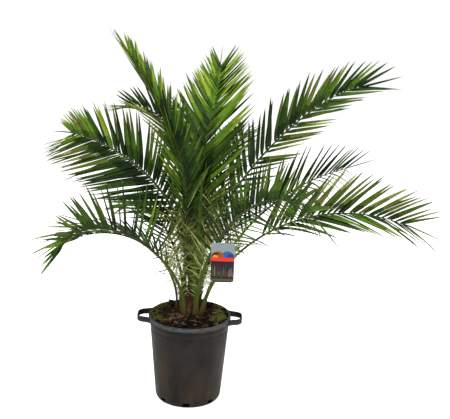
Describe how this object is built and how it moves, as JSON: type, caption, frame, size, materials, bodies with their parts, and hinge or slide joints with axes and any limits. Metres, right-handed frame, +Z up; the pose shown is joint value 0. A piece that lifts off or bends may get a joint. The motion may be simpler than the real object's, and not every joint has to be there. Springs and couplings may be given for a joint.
{
  "type": "canary island date palm in a nursery pot",
  "caption": "Young feather palm in a round nursery pot: arching pinnate fronds round a short stem, potting soil, two loop handles and a hang tag.",
  "frame": {"origin": "middle of the pot's flat underside", "axes": "+Z up along the pot's axis, +X towards the right-hand handle, -Y towards the side that faces the viewer"},
  "size_m": [1.489, 1.5664, 1.3601],
  "materials": {
    "pot_plastic": "weathered charcoal",
    "potting_soil": "rough compost",
    "stem_fibre": "fibrous",
    "green_stalk": "smooth waxy",
    "leaf": "satin green",
    "young_leaf": "satin bright green",
    "printed_card": "printed plastic card"
  },
  "bodies": {
    "root": {"blade_01_inner": "leaf", "blade_01_outer": "leaf", "blade_02_inner": "leaf", "blade_02_outer": "leaf", "blade_03_inner": "leaf", "blade_03_outer": "leaf", "blade_04_inner": "leaf", "blade_04_outer": "leaf", "blade_05_inner": "leaf", "blade_05_outer": "leaf", "blade_06_inner": "leaf", "blade_06_outer": "leaf", "blade_07_inner": "leaf", "blade_07_outer": "leaf", "blade_08_inner": "leaf", "blade_08_outer": "leaf", "blade_09_inner": "leaf", "blade_09_outer": "leaf", "blade_10_inner": "leaf", "blade_10_outer": "leaf", "blade_11_inner": "leaf", "blade_11_outer": "leaf", "blade_12_inner": "leaf", "blade_12_outer": "leaf", "blade_13_inner": "leaf", "blade_13_outer": "leaf", "blade_14_inner": "leaf", "blade_14_outer": "leaf", "blade_15_inner": "leaf", "blade_15_outer": "leaf", "handle_left": "pot_plastic", "handle_right": "pot_plastic", "pot_body": "pot_plastic", "soil": "potting_soil", "spear": "young_leaf", "stalk_01": "green_stalk", "stalk_02": "green_stalk", "stalk_03": "green_stalk", "stalk_04": "green_stalk", "stalk_05": "green_stalk", "stalk_06": "green_stalk", "stalk_07": "green_stalk", "stalk_08": "green_stalk", "stalk_09": "green_stalk", "stalk_10": "green_stalk", "stalk_11": "green_stalk", "stalk_12": "green_stalk", "stalk_13": "green_stalk", "stalk_14": "green_stalk", "stalk_15": "green_stalk", "stem": "stem_fibre", "tag": "printed_card", "tag_loop": "printed_card"}
  },
  "joints": []
}
